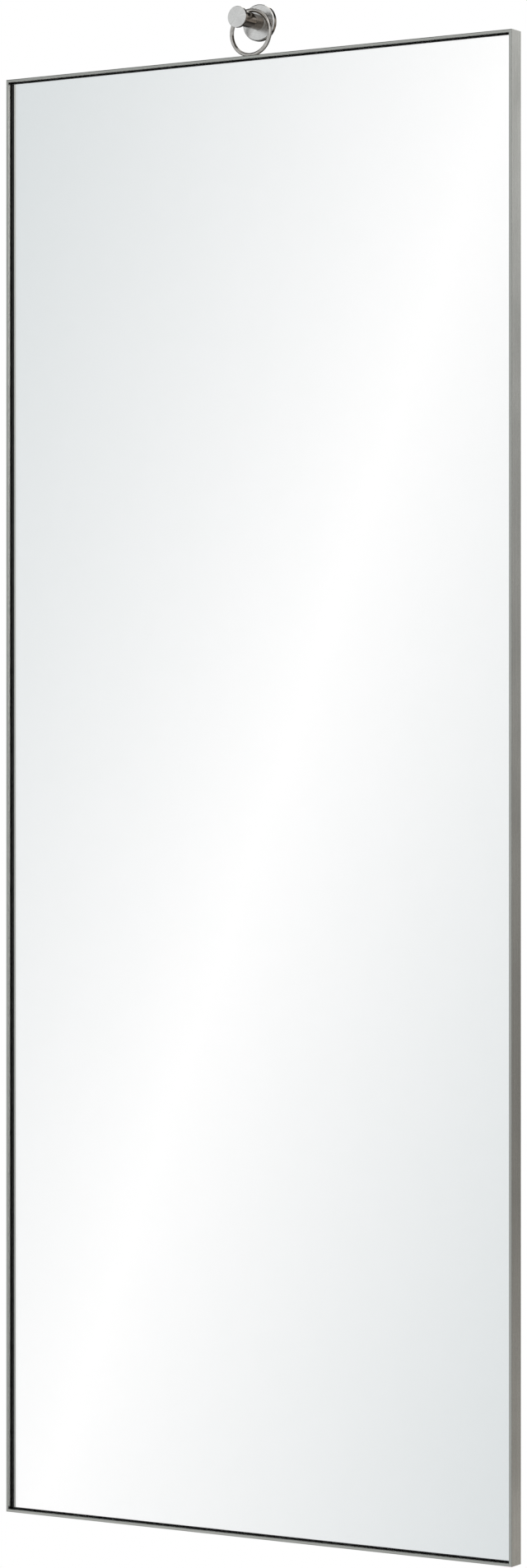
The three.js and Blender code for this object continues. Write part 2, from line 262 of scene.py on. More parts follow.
def zinc_steel():
    material, shader = new_material("zinc_steel")
    crystals = shader.add("ShaderNodeTexVoronoi", {"Vector": shader.place(), "Scale": 520.0}).outputs["Color"]
    tone = shader.dot(crystals, (0.33, 0.33, 0.33))
    dust = shader.noise(shader.place(), 4200.0)
    shader.paint({
        "Base Color": shader.ramp(tone, (0.1, (0.46, 0.47, 0.48)), (0.9, (0.62, 0.63, 0.62))),
        "Metallic": 1.0,
        "Roughness": shader.spread(tone, 0.3, 0.48, from_low=0.1, from_high=0.9),
        "Normal": shader.bump(dust, 0.01 * MM),
    })
    return material


def clear_glass():
    """Float glass, with the slight waviness that such glass has."""
    material, shader = new_material("clear_glass")
    waves = shader.noise(shader.place(), 5.0, detail=1.0)
    shader.paint({
        "Base Color": WHITE,
        "Roughness": 0.0,
        "IOR": 1.5,
        "Transmission Weight": 1.0,
        "Normal": shader.bump(waves, 0.02 * MM, 0.2),
    })
    return material


def silvering():
    material, shader = new_material("silvering")
    film = shader.noise(shader.place(), 30.0)
    shader.paint({
        "Base Color": shader.ramp(film, (0.3, (0.985, 0.987, 0.985)), (0.7, (0.992, 0.992, 0.992))),
        "Metallic": 1.0,
        "Roughness": 0.0,
    })
    return material


def matt(name, dark, light, roughness, scale, bump, **plain):
    """Rubber, foam, paint, mastic or moulded plastic: mottled, with a fine rough surface."""
    material, shader = new_material(name)
    mottle = shader.noise(shader.place(), scale, detail=4.0)
    pores = shader.noise(shader.place(), 9 * scale)
    shader.paint({
        "Base Color": shader.ramp(mottle, (0.3, dark), (0.7, light)),
        "Roughness": shader.spread(pores, *roughness),
        "Normal": shader.bump(pores, bump),
        **plain,
    })
    return material


FRAME_STEEL = grained_steel(
    "brushed_frame", (0.355, 0.357, 0.335), (0.495, 0.498, 0.47), (0.18, 0.32),
    lengthwise, lengthwise_tangent)
# the peg's steel has painted sheen in its colour: light and dark wedges round its axis
PEG_STEEL = grained_steel(
    "brushed_peg", grey(0.62, 0.02), grey(0.82, 0.015), (0.18, 0.34),
    concentric, concentric_tangent, painted_wedges_of_sheen)
POLISHED = polished_steel("polished_steel", grey(0.42, 0.06), grey(0.54, 0.045))
# A darker, brownish copy of the polished steel for the sleeve and the sides of the flange and head: painted
# shade, darker than the steel is, because those faces reflect a dark room
SHADE_PAINTED_POLISHED = polished_steel("dark_polished_steel", grey(0.12, 0.18), grey(0.17, 0.14))
WELDED = welded_steel()
ZINC = zinc_steel()
GLASS = clear_glass()
SILVER = silvering()
DULL = {"Specular IOR Level": 0.1}
EDGE_PAINT = matt("edge_paint", grey(0.004), grey(0.009), (0.6, 0.85), 300.0, 0.02 * MM, **DULL)
FOAM = matt("black_foam", grey(0.003), grey(0.008), (0.8, 0.95), 500.0, 0.05 * MM, **DULL)
BOARD = matt("black_board", grey(0.018, 0.05), grey(0.034, 0.04), (0.5, 0.75), 120.0, 0.03 * MM)
MASTIC = matt("mastic", (0.6, 0.55, 0.45), (0.72, 0.68, 0.6), (0.4, 0.7), 150.0, 0.1 * MM)
RUBBER = matt("rubber_pad", grey(0.022), grey(0.04), (0.6, 0.85), 400.0, 0.03 * MM)
PALE_NYLON = matt("pale_nylon", (0.66, 0.65, 0.6), (0.74, 0.73, 0.69), (0.3, 0.5), 350.0, 0.01 * MM)
GREY_NYLON = matt("grey_nylon", (0.3, 0.31, 0.31), (0.37, 0.38, 0.375), (0.42, 0.62), 260.0, 0.02 * MM)

# ---------------------------------------------------------------- outlines and meshes


def fillet(corners):
    """The points of a closed outline. Each corner is a pair and the radius that rounds it, or 0."""
    points = []
    for index, (a, b, radius) in enumerate(corners):
        corner = Vector((a, b))
        if radius == 0:
            points.append(corner)
            continue
        before = (Vector(corners[index - 1][:2]) - corner).normalized()
        after = (Vector(corners[(index + 1) % len(corners)][:2]) - corner).normalized()
        half = before.angle(after) / 2
        centre = corner + (before + after).normalized() * radius / math.sin(half)
        start = corner + before * radius / math.tan(half) - centre
        end = corner + after * radius / math.tan(half) - centre
        turn = start.angle_signed(end)
        for step in range(ARC_STEPS + 1):
            points.append(centre + start @ Matrix.Rotation(turn * step / ARC_STEPS, 2))
    return points


def smoothed(mesh, sharp=SHARP_ANGLE):
    """Shades a mesh smooth, and sharp where two faces meet at more than an angle."""
    mesh.shade_smooth()
    mesh.set_sharp_from_angle(angle=sharp)
    return mesh


def to_mesh(name, builder, sharp=SHARP_ANGLE):
    """Ends a bmesh, with its faces turned out."""
    bmesh.ops.recalc_face_normals(builder, faces=builder.faces)
    mesh = bpy.data.meshes.new(name)
    builder.to_mesh(mesh)
    builder.free()
    return smoothed(mesh, sharp)


def turns(steps):
    return [2 * math.pi * step / steps for step in range(steps)]


def round_ring(builder, sides, radius, y, centre_x=0.0, centre_z=0.0):
    """A ring of points about an axis along Y, or where its radius is 0 one point, as often."""
    if radius == 0:
        return [builder.verts.new((centre_x, y, centre_z))] * sides
    return [
        builder.verts.new((centre_x + radius * math.cos(angle), y, centre_z + radius * math.sin(angle)))
        for angle in turns(sides)
    ]


def join_rings(builder, first, second):
    """Fills the band between two rings of as many points. Where one ring is a point, with triangles."""
    sides = len(first)
    for side in range(sides):
        other = (side + 1) % sides
        corners = [first[side], first[other], second[other], second[side]]
        corners = [corner for index, corner in enumerate(corners) if corner is not corners[index - 1]]
        if len(corners) > 2:
            builder.faces.new(corners)


def turned(name, profile, sides=ROUND_SIDES, centre_x=0.0, centre_z=0.0):
    """A solid of revolution about an axis along Y. Its profile is a closed outline of (radius, y)."""
    builder = bmesh.new()
    rings = [round_ring(builder, sides, radius, y, centre_x, centre_z) for radius, y in profile]
    for index, ring in enumerate(rings):
        join_rings(builder, rings[index - 1], ring)
    return to_mesh(name, builder)


def shade_painted_sides(mesh, dark):
    """Gives the faces of a turned piece that look away from its axis a second material, dark: painted shade
    on its sides.
    """
    mesh.materials.append(PEG_STEEL)
    mesh.materials.append(dark)
    steepest = 0.4  # of a side face's normal, along the axis
    for face in mesh.polygons:
        face.material_index = 1 if abs(face.normal.y) < steepest else 0


def plate(name, outline, holes, front_y, back_y, edge):
    """A flat piece across Y with round holes and rounded edges. The outline is in X and Z."""
    curve = bpy.data.curves.new(name, "CURVE")
    curve.dimensions = "2D"
    curve.fill_mode = "BOTH"
    curve.bevel_depth = edge
    curve.bevel_resolution = 2
    curve.offset = -edge
    curve.extrude = (back_y - front_y) / 2 - edge
    circles = [
        [(x + radius * math.cos(angle), z + radius * math.sin(angle)) for angle in turns(SMALL_SIDES)]
        for x, z, radius in holes
    ]
    for loop in [outline, *circles]:
        spline = curve.splines.new("POLY")
        spline.points.add(len(loop) - 1)
        spline.use_cyclic_u = True
        for point, (x, z) in zip(spline.points, loop):
            point.co = (x, z, 0, 1)
    holder = bpy.data.objects.new(name, curve)
    mesh = bpy.data.meshes.new_from_object(holder)
    bpy.data.objects.remove(holder)
    bpy.data.curves.remove(curve)
    mesh.transform(Matrix.Translation((0, (front_y + back_y) / 2, 0)) @ ALONG_Z)
    builder = bmesh.new()
    builder.from_mesh(mesh)
    bpy.data.meshes.remove(mesh)
    bmesh.ops.remove_doubles(builder, verts=builder.verts, dist=1e-6)
    return to_mesh(name, builder)


def carved(mesh, *tools):
    """The mesh with each tool's mesh cut out of it."""
    for tool in tools:
        body = bpy.data.objects.new("carved_body", mesh)
        cutter = bpy.data.objects.new("carving_tool", tool)
        for item in (body, cutter):
            scene.collection.objects.link(item)
        cut = body.modifiers.new("cut", "BOOLEAN")
        cut.operation = "DIFFERENCE"
        cut.solver = "EXACT"
        cut.object = cutter
        graph = bpy.context.evaluated_depsgraph_get()
        mesh = bpy.data.meshes.new_from_object(body.evaluated_get(graph))
        for item in (body, cutter):
            bpy.data.objects.remove(item)
    return smoothed(mesh)


def block(low, high):
    """A box mesh, for carving."""
    builder = bmesh.new()
    bmesh.ops.create_cube(builder, size=1.0)
    for vertex in builder.verts:
        vertex.co = [a + (b - a) * (c + 0.5) for a, b, c in zip(low, high, vertex.co)]
    return to_mesh("carving_block", builder)


def crossed_blocks(half_width, reach, start_y, end_y):
    """Two thin blocks that cross on the Y axis, for carving slots."""
    return [
        block((-reach_x, start_y, -reach_z), (reach_x, end_y, reach_z))
        for reach_x, reach_z in [(reach, half_width), (half_width, reach)]
    ]


def threaded(name, root, crest, pitch, start_y, end_y, tip):
    """A rod along Y with a helical thread. It narrows to a point over its last stretch, the tip."""
    sides = 24
    rows_in_pitch = 6
    bluntness = 0.02  # of the point, next to the rod's radius
    length = abs(end_y - start_y)
    rows = round(length / pitch * rows_in_pitch)
    builder = bmesh.new()
    rings = [round_ring(builder, sides, 0, start_y)]
    for row in range(rows + 1):
        along = length * row / rows
        y = start_y + math.copysign(along, end_y - start_y)
        taper = max(min(1.0, (length - along) / tip), bluntness)
        ring = []
        for side, angle in enumerate(turns(sides)):
            phase = (along / pitch + side / sides) % 1.0
            radius = (root + (crest - root) * (1 - abs(2 * phase - 1))) * taper
            ring.append(builder.verts.new((radius * math.cos(angle), y, radius * math.sin(angle))))
        rings.append(ring)
    rings.append(round_ring(builder, sides, 0, end_y))
    for first, second in zip(rings, rings[1:]):
        join_rings(builder, first, second)
    return to_mesh(name, builder, sharp=math.radians(70))


def joined(name, *meshes):
    """One mesh of several closed ones."""
    builder = bmesh.new()
    for mesh in meshes:
        builder.from_mesh(mesh)
    return to_mesh(name, builder)


# ---------------------------------------------------------------- pieces


def add_piece(name, mesh, material, slot, body, *nodes, at=(0, 0, 0)):
    """A piece of the object, which stands for some CAD nodes and rides on their body."""
    piece = bpy.data.objects.new(name, mesh)
    piece.location = at
    scene.collection.objects.link(piece)
    shading = piece.modifiers.new("keep_flats_flat", "WEIGHTED_NORMAL")
    shading.weight = 100
    shading.keep_sharp = True
    if not mesh.materials:
        mesh.materials.append(material)
    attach(piece, body)
    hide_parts(*nodes)
    return piece


def dress(material, *nodes):
    """Gives CAD nodes that stay a procedural material."""
    for node in nodes:
        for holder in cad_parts[node].material_slots:
            holder.material = material


def dress_all(material, start):
    dress(material, *(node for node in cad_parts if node.startswith(start)))


# Frame bars

outer_low, outer_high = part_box("frame_top_bar")
bar_thickness = outer_high.z - outer_low.z
frame_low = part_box("frame_bottom_bar")[0]
frame_high = outer_high


def bar_section():
    """How far in from the frame's outside, and the place across Y, with rounded edges."""
    front, back = frame_low.y, frame_high.y
    return fillet([
        (0, front, BAR_FRONT_EDGE), (bar_thickness, front, EDGE),
        (bar_thickness, back, EDGE), (0, back, EDGE)])


def frame_corner(index, inset):
    left, right = frame_low.x + inset, frame_high.x - inset
    bottom, top = frame_low.z + inset, frame_high.z - inset
    return [(left, top), (right, top), (right, bottom), (left, bottom)][index % 4]


def frame_bar(name, index):
    """A bar from one corner of the frame to the next, mitred, with its grain along it."""
    section = bar_section()
    builder = bmesh.new()
    ends = []
    for corner in (index, index + 1):
        places = [(*frame_corner(corner, inset), y) for inset, y in section]
        ends.append([builder.verts.new((x, y, z)) for x, z, y in places])
    grain = builder.loops.layers.uv.new("grain")
    way = (ends[1][0].co - ends[0][0].co).normalized()
    round_section = 0.0
    for one in range(len(section)):
        other = (one + 1) % len(section)
        width = (section[other] - section[one]).length
        face = builder.faces.new([ends[0][one], ends[1][one], ends[1][other], ends[0][other]])
        heights = [round_section, round_section, round_section + width, round_section + width]
        for loop, height in zip(face.loops, heights):
            loop[grain].uv = (loop.vert.co.dot(way), height)
        round_section += width
    for end in ends:
        face = builder.faces.new(end)
        for loop in face.loops:
            loop[grain].uv = (loop.vert.co.dot(way), loop.vert.co.y)
    mesh = to_mesh(name, builder)
    return add_piece(name, mesh, FRAME_STEEL, "brushed_frame", "mirror", name.replace("steel", "frame"))


for index, side in enumerate(["top", "right", "bottom", "left"]):
    frame_bar(f"steel_{side}_bar", index)

# Glass, silvering and what holds them


def slab(name, low, high, edge):
    """A flat slab whose front and back are the first material's and whose edges are the second's."""
    builder = bmesh.new()
    rings = []
    for y, inset in [(low.y, edge), (low.y + edge, 0), (high.y - edge, 0), (high.y, edge)]:
        left, right = low.x + inset, high.x - inset
        bottom, top = low.z + inset, high.z - inset
        corners = [(left, bottom), (right, bottom), (right, top), (left, top)]
        rings.append([builder.verts.new((x, y, z)) for x, z in corners])
    for first, second in zip(rings, rings[1:]):
        join_rings(builder, first, second)
    for face in builder.faces:
        face.material_index = 1
    builder.faces.new(rings[0])
    builder.faces.new(rings[-1])
    return to_mesh(name, builder, sharp=math.radians(20))


def edge_painted(mesh, material):
    """Gives a slab a material for its faces, and dark paint for its edges."""
    mesh.materials.append(material)
    mesh.materials.append(EDGE_PAINT)
    return mesh


def glass_pane():
    mesh = edge_painted(slab("glass_pane", *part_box("mirror_glass"), FINE_EDGE), GLASS)
    return add_piece("glass_pane", mesh, GLASS, "clear_glass", "mirror", "mirror_glass")


def silver_film():
    low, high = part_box("silver_backing")
    low = low + Vector((0, SILVER_GAP, 0))
    mesh = edge_painted(slab("silver_film", low, high, FINE_EDGE / 2), SILVER)
    return add_piece("silver_film", mesh, SILVER, "silvering", "mirror", "silver_backing")


glass_pane()
silver_film()
dress(BOARD, "backing_board")
dress_all(FOAM, "edge_liner_")
dress_all(MASTIC, "mastic_dab_")

# Brackets, tabs, screws and pads

screw_nodes = [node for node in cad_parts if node.startswith("bracket_screw_")]

SCREW_HOLE = 1.8 * MM  # radius of a hole for a bracket screw
SHANK_RADIUS = 1.5 * MM
THREAD_PITCH = 1.1 * MM
LEG_TIP = 10 * MM  # width of a bracket at the end of each leg
BRACKET_CORNER = 2 * MM
TAB_CORNER = 1.5 * MM


def middle_of(node):
    low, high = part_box(node)
    return (low + high) / 2


def radius_of(node):
    low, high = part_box(node)
    return (high.x - low.x) / 2


def screw_holes(low, high):
    """The screws whose middles lie over a plate, as holes."""
    holes = []
    for node in screw_nodes:
        x, _, z = middle_of(node)
        if low.x < x < high.x and low.z < z < high.z:
            holes.append((x, z, SCREW_HOLE))
    return holes


def corner_bracket(name, node):
    """A three-cornered plate in a corner of the frame, with a blunt tip at the end of each leg."""
    low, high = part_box(node)
    middle = (frame_low + frame_high) / 2
    x_start, x_end = (low.x, high.x) if low.x < middle.x else (high.x, low.x)
    z_start, z_end = (low.z, high.z) if low.z < middle.z else (high.z, low.z)
    across = math.copysign(LEG_TIP, x_end - x_start)
    up = math.copysign(LEG_TIP, z_end - z_start)
    outline = fillet([
        (x_start, z_start, 0), (x_end, z_start, BRACKET_CORNER), (x_end, z_start + up, BRACKET_CORNER),
        (x_start + across, z_end, BRACKET_CORNER), (x_start, z_end, BRACKET_CORNER),
    ])
    mesh = plate(name, outline, screw_holes(low, high), low.y, high.y, FINE_EDGE)
    return add_piece(name, mesh, ZINC, "zinc_steel", "mirror", node)


def side_tab(name, node):
    low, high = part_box(node)
    corners = [(low.x, low.z), (high.x, low.z), (high.x, high.z), (low.x, high.z)]
    outline = fillet([(x, z, TAB_CORNER) for x, z in corners])
    mesh = plate(name, outline, screw_holes(low, high), low.y, high.y, FINE_EDGE)
    return add_piece(name, mesh, ZINC, "zinc_steel", "mirror", node)


def pan_head(node):
    """A pan-head screw with a cross recess, about the Y axis. Its point is towards -Y."""
    low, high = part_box(node)
    radius = radius_of(node)
    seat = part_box("corner_bracket_top_left")[1].y
    shoulder = seat + 0.55 * (high.y - seat)
    head = turned("pan_head", fillet([
        (0, seat, 0), (radius, seat, 0.1 * MM), (radius, shoulder, 0.5 * MM),
        (0.6 * radius, high.y, 0.8 * MM), (0, high.y, 0)]), SMALL_SIDES)
    slot_half, slot_reach, slot_depth = 0.4 * MM, 2.0 * MM, 0.9 * MM
    cross = crossed_blocks(slot_half, slot_reach, high.y - slot_depth, high.y + slot_depth)
    root_radius = 0.74 * SHANK_RADIUS
    shank = threaded("screw_shank", root_radius, SHANK_RADIUS, THREAD_PITCH, seat, low.y, 2 * SHANK_RADIUS)
    return joined("pan_head_screw", carved(head, *cross), shank)


def bracket_screws():
    mesh = pan_head(screw_nodes[0])
    for node in screw_nodes:
        x, _, z = middle_of(node)
        at = (x, 0, z)
        add_piece(node.replace("bracket", "pan_head"), mesh, ZINC, "zinc_steel", "mirror", node, at=at)


def wall_pad(name, node):
    """A rubber pad with a soft rim and a shallow moulded ring in its back."""
    low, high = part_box(node)
    radius = radius_of(node)
    groove_floor = high.y - 0.3 * MM
    soft, rim = 0.1 * MM, 0.5 * MM
    profile = fillet([
        (0, low.y, 0), (radius, low.y, 0), (radius, high.y, rim), (0.72 * radius, high.y, soft),
        (0.66 * radius, groove_floor, soft), (0.58 * radius, groove_floor, soft),
        (0.52 * radius, high.y, soft), (0, high.y, 0)])
    x, _, z = middle_of(node)
    mesh = turned(name, profile, SMALL_SIDES * 2, x, z)
    return add_piece(name, mesh, RUBBER, "rubber_pad", "mirror", node)


for corner in ["top_left", "top_right", "bottom_left", "bottom_right"]:
    corner_bracket(f"corner_plate_{corner}", f"corner_bracket_{corner}")
    wall_pad(f"wall_pad_{corner}", f"wall_bumper_{corner}")
for side in ["left", "right"]:
    side_tab(f"side_plate_{side}", f"side_tab_{side}")
bracket_screws()

# Ring and its weld

ring_low, ring_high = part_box("hanging_ring")
ring_outer = radius_of("hanging_ring")
ring_wire = (ring_high.y - ring_low.y) / 2
ring_y = (ring_low.y + ring_high.y) / 2
ring_z = ring_high.z - ring_outer


def ground_flat(mesh, height):
    """Cuts a mesh off level at a height, and closes it."""
    builder = bmesh.new()
    builder.from_mesh(mesh)
    geometry = [*builder.verts, *builder.edges, *builder.faces]
    cut = bmesh.ops.bisect_plane(
        builder, geom=geometry, dist=1e-7, plane_co=(0, 0, height), plane_no=(0, 0, 1), clear_inner=True)
    edges = [item for item in cut["geom_cut"] if isinstance(item, bmesh.types.BMEdge)]
    bmesh.ops.edgenet_fill(builder, edges=edges)
    return to_mesh(mesh.name, builder)


def hanging_ring():
    wire = [
        (ring_outer - ring_wire + ring_wire * math.cos(angle), ring_y + ring_wire * math.sin(angle))
        for angle in turns(SMALL_SIDES)
    ]
    mesh = ground_flat(turned("round_ring", wire, ROUND_SIDES, 0.0, ring_z), frame_high.z)
    return add_piece("round_ring", mesh, POLISHED, "polished_steel", "mirror", "hanging_ring")


def ring_weld():
    """A bead behind the ring's foot, with the ripples that welding leaves."""
    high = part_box("ring_weld")[1]
    half_length = radius_of("ring_weld")
    height = high.z - frame_high.z
    depth = high.y - ring_high.y
    ripple, ripples, ripple_bow = 0.07, 9, 1.2
    builder = bmesh.new()
    bmesh.ops.create_uvsphere(builder, u_segments=SMALL_SIDES, v_segments=SMALL_SIDES * 2, radius=1.0)
    for vertex in builder.verts:
        along, across, up = vertex.co.z, vertex.co.x, vertex.co.y
        phase = ripples * math.pi * along + ripple_bow * across * across
        swell = 1 - ripple * (0.5 + 0.5 * math.cos(phase))
        vertex.co = (along * half_length, ring_high.y + across * depth * swell,
                     frame_high.z + up * height * swell)
    mesh = ground_flat(to_mesh("weld_bead", builder), frame_high.z)
    return add_piece("weld_bead", mesh, WELDED, "welded_steel", "mirror", "ring_weld")


hanging_ring()
ring_weld()

# Wall peg

NUT_RECESS_RADIUS = 6.07 * MM
STUD_HOLE = 3.3 * MM  # radius of a hole for the stud
FLANGE_CHAMFER = 1 * MM
FLANGE_HOLLOW = 0.8 * MM  # depth of the hollow in the flange's back
SLEEVE_WALL = 1.8 * MM
BUSH_LIP = 0.8 * MM  # thickness of a bush's collar
BUSH_STEP = 2 * MM  # from the collar's radius in to that of the part inside the sleeve
HEAD_FACE = 1 * MM  # metal left between the head's face and its hole
DRILL_PLAY = 0.15 * MM  # between the set screw and its hole


def wall_flange():
    low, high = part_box("peg_flange")
    nut_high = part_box("flange_nut")[1]
    rim = high.x
    hollow_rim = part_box("wall_plug")[1].x + LOOSE_FIT
    hollow_floor = high.y - FLANGE_HOLLOW
    profile = fillet([
        (NUT_RECESS_RADIUS, low.y, FINE_EDGE), (rim - FLANGE_CHAMFER, low.y, FINE_EDGE),
        (rim, low.y + FLANGE_CHAMFER, EDGE), (rim, high.y, FINE_EDGE),
        (hollow_rim, high.y, FINE_EDGE), (hollow_rim, hollow_floor, 0),
        (STUD_HOLE, hollow_floor, 0), (STUD_HOLE, nut_high.y, 0), (NUT_RECESS_RADIUS, nut_high.y, 0)])
    mesh = turned("round_flange", profile)
    shade_painted_sides(mesh, SHADE_PAINTED_POLISHED)
    return add_piece("round_flange", mesh, PEG_STEEL, "brushed_peg", "wall_mount", "peg_flange")


def round_sleeve():
    low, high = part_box("peg_sleeve")
    bore = high.x - SLEEVE_WALL
    profile = fillet([
        (bore, low.y, FINE_EDGE), (high.x, low.y, EDGE), (high.x, high.y, EDGE), (bore, high.y, FINE_EDGE)])
    mesh = turned("round_sleeve", profile)
    # the sleeve takes the darker copy of polished steel: painted shade
    return add_piece("round_sleeve", mesh, SHADE_PAINTED_POLISHED, "polished_steel", "sleeve", "peg_sleeve")


def collar_bush(name, node, collar_at_front):
    """A bush with a thin collar at one end."""
    low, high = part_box(node)
    spigot = high.x - BUSH_STEP
    face, inside = (low.y, high.y) if collar_at_front else (high.y, low.y)
    seat = face + math.copysign(BUSH_LIP, inside - face)
    profile = fillet([
        (STUD_HOLE, inside, 0), (spigot, inside, FINE_EDGE), (spigot, seat, 0),
        (high.x, seat, 0), (high.x, face, FINE_EDGE * 2), (STUD_HOLE, face, 0)])
    mesh = turned(name, profile)
    return add_piece(name, mesh, PALE_NYLON, "pale_nylon", "sleeve", node)


def peg_cap():
    """The peg's head: a disc with a small rounding at its face and a hole below for its set screw."""
    low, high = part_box("peg_head")
    hole = radius_of("head_set_screw") + DRILL_PLAY
    bore_end = low.y + HEAD_FACE
    drill_start = -1.1 * high.x
    profile = fillet([
        (0, low.y, 0), (high.x, low.y, HEAD_RIM), (high.x, high.y, EDGE),
        (STUD_HOLE, high.y, FINE_EDGE), (STUD_HOLE, bore_end, 0), (0, bore_end, 0)])
    drill_outline = [(0, drill_start), (hole, drill_start), (hole, -STUD_HOLE), (0, -STUD_HOLE)]
    drill = turned("drill", drill_outline, SMALL_SIDES)
    drill.transform(Matrix.Translation((0, middle_of("peg_head").y, 0)) @ ALONG_Z)
    mesh = carved(turned("round_head", profile), drill)
    shade_painted_sides(mesh, SHADE_PAINTED_POLISHED)
    return add_piece("round_head", mesh, PEG_STEEL, "brushed_peg", "wall_mount", "peg_head")


def set_screw():
    """A headless screw with a hexagon socket in its lower end."""
    low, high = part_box("head_set_screw")
    radius = radius_of("head_set_screw")
    length = high.z - low.z
    screw = turned("socket_screw", fillet([
        (0, 0, 0), (radius, 0, FINE_EDGE), (radius, length, FINE_EDGE), (0, length, 0)]), SMALL_SIDES)
    reach = 0.6 * radius
    socket = turned("socket", [(0, -radius), (reach, -radius), (reach, radius), (0, radius)], sides=6)
    mesh = carved(screw, socket)
    mesh.transform(Matrix.Translation((0, middle_of("head_set_screw").y, low.z)) @ ALONG_Z)
    return add_piece("socket_screw", mesh, ZINC, "zinc_steel", "wall_mount", "head_set_screw")


def expansion_plug():
    """A nylon plug with a collar, barbs and slots that let its legs spread."""
    low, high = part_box("wall_plug")
    stud_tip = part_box("hanger_stud")[1].y
    tip_length = 7 * MM  # over which the stud narrows
    collar, mouth, end = high.x, low.y, high.y
    collar_size = 1 * MM
    outside = collar - collar_size
    barbs, barb_height = 5, 0.8 * MM
    pitch = (end - mouth - 2 * collar_size) / (barbs + 1)
    profile = [(collar, mouth, FINE_EDGE), (collar, mouth + collar_size, FINE_EDGE)]
    for barb in range(barbs):
        start = mouth + collar_size + barb * pitch
        profile.append((outside - barb_height, start, 0))
        profile.append((outside, start + pitch, FINE_EDGE))
    profile += [
        (outside - barb_height, end, 3 * EDGE), (0, end, 0), (0, stud_tip + LOOSE_FIT, 0),
        (STUD_HOLE, stud_tip - tip_length, 0), (STUD_HOLE, mouth, 0)]
    mesh = turned("expansion_plug", fillet(profile), SMALL_SIDES * 2)
    slot_half = 0.4 * MM
    mesh = carved(mesh, *crossed_blocks(slot_half, collar, mouth + 9 * MM, end - 6 * MM))
    return add_piece("expansion_plug", mesh, GREY_NYLON, "grey_nylon", "wall_mount", "wall_plug")


wall_flange()
round_sleeve()
collar_bush("rear_collar_bush", "rear_bush", collar_at_front=False)
collar_bush("front_collar_bush", "front_bush", collar_at_front=True)
peg_cap()
set_screw()
expansion_plug()
dress(ZINC, "hanger_stud", "flange_nut")

# ---------------------------------------------------------------- camera

IMAGE_HEIGHT = 1905  # rows of the photo
HORIZON_ROW = 932  # its row at the camera's height
FOCAL_PIXELS = 5247  # the lens's length in the photo's pixels
SENSOR = 36.0
FAR_CLIP = 100.0

VIEW_TURN = math.radians(31.6)  # from square on to the mirror towards its right
VIEW_DISTANCE = 4.4375  # from the middle of the frame's front edge
VIEW_SIDESTEP = 0.01426  # to the right of the line through that middle
VIEW_DROP = 0.7315  # below the frame's top

line_of_sight = Vector((-math.sin(VIEW_TURN), math.cos(VIEW_TURN), 0))
to_the_right = Vector((math.cos(VIEW_TURN), math.sin(VIEW_TURN), 0))


def make_camera():
    lens = bpy.data.cameras.new("camera")
    lens.sensor_width = SENSOR
    lens.lens = SENSOR * FOCAL_PIXELS / IMAGE_HEIGHT
    lens.shift_y = (HORIZON_ROW - IMAGE_HEIGHT / 2) / IMAGE_HEIGHT
    lens.clip_end = FAR_CLIP
    camera = bpy.data.objects.new("camera", lens)
    target = Vector((0, frame_low.y, frame_high.z - VIEW_DROP))
    camera.location = target - line_of_sight * VIEW_DISTANCE + to_the_right * VIEW_SIDESTEP
    camera.rotation_euler = (math.pi / 2, 0, VIEW_TURN)
    scene.collection.objects.link(camera)
    scene.camera = camera


make_camera()

# ---------------------------------------------------------------- studio

FLOOR_DROP = 0.16  # below the frame
BACKDROP_SIZE = 40.0
FLOOR_PAINT = grey(0.8)
FLOOR_GLOW = 0.6  # with its own light, a floor of this glow looks white where no shadow falls
WALL_GAP = 0.05 * MM  # behind the flange's back
PLAIN_LIGHT = 0.62  # how brightly the room lights a matt surface
GLOSS_LIGHT = 1.02  # how brightly metal and glass see the room

# The room that metal and glass see, by direction. A height is how far a direction points up, from -1 to 1.
ROOM_DARK = grey(0.045)
ROOM_GREY = grey(0.45)  # ceiling and side walls
ROOM_FLOOR = grey(0.6)
LIGHT_BOX = (0.9, 0.9, 0.88)
LIGHT_BOX_WAY = (0.38, -0.25, 0.89)

STRIPE_SLANT = math.radians(18)  # from upright
STRIPE_MIDDLE = 0.0043  # how far to the side of the camera's own direction
STRIPE_SPACING = 0.4
STRIPE_SHADE = (0.70, 0.735, 0.745)  # of the wall at SHADE_PLACE from the middle of a stripe
SHADE_PLACE = 0.105
BETWEEN_STRIPES = tuple(0.85 * part for part in STRIPE_SHADE)

REAR_HEIGHT = 0.2  # up and down, over which the rear strip changes
REAR_LIGHT = [
    (0.04, grey(0.84, 0.05)),
    (0.18, grey(0.53, 0.05)),
    (0.33, grey(0.43, 0.05)),
    (0.49, grey(0.66, 0.03)),
    (0.66, grey(0.78, 0.01)),
    (0.80, grey(0.97)),
    (0.88, grey(1.30)),
    (1.0, grey(1.25)),
]
FRONT_RISE = 2.2  # how fast the front strip gets brighter with height


def backdrop(name, material, place, turn=(0, 0, 0)):
    """A big flat screen, which lies level unless it's turned. Metal and glass don't see it."""
    builder = bmesh.new()
    bmesh.ops.create_grid(builder, x_segments=1, y_segments=1, size=BACKDROP_SIZE / 2)
    mesh = bpy.data.meshes.new(name)
    builder.to_mesh(mesh)
    builder.free()
    mesh.materials.append(material)
    screen = bpy.data.objects.new(name, mesh)
    screen.location = place
    screen.rotation_euler = turn
    screen.visible_glossy = False
    screen.visible_transmission = False
    scene.collection.objects.link(screen)
    return screen


def make_floor():
    """A pale floor that looks white where no shadow falls. Metal and glass see the room instead of it."""
    material, shader = new_material("pale_floor")
    seen = shader.add("ShaderNodeLightPath").outputs["Is Camera Ray"]
    glow = shader.add("ShaderNodeEmission", {"Strength": shader.times(seen, FLOOR_GLOW)})
    paint = shader.add("ShaderNodeBsdfDiffuse", {"Color": opaque(FLOOR_PAINT)})
    shader.surface("ShaderNodeAddShader", {0: glow.outputs[0], 1: paint.outputs[0]})
    backdrop("floor", material, (0, 0, frame_low.z - FLOOR_DROP))


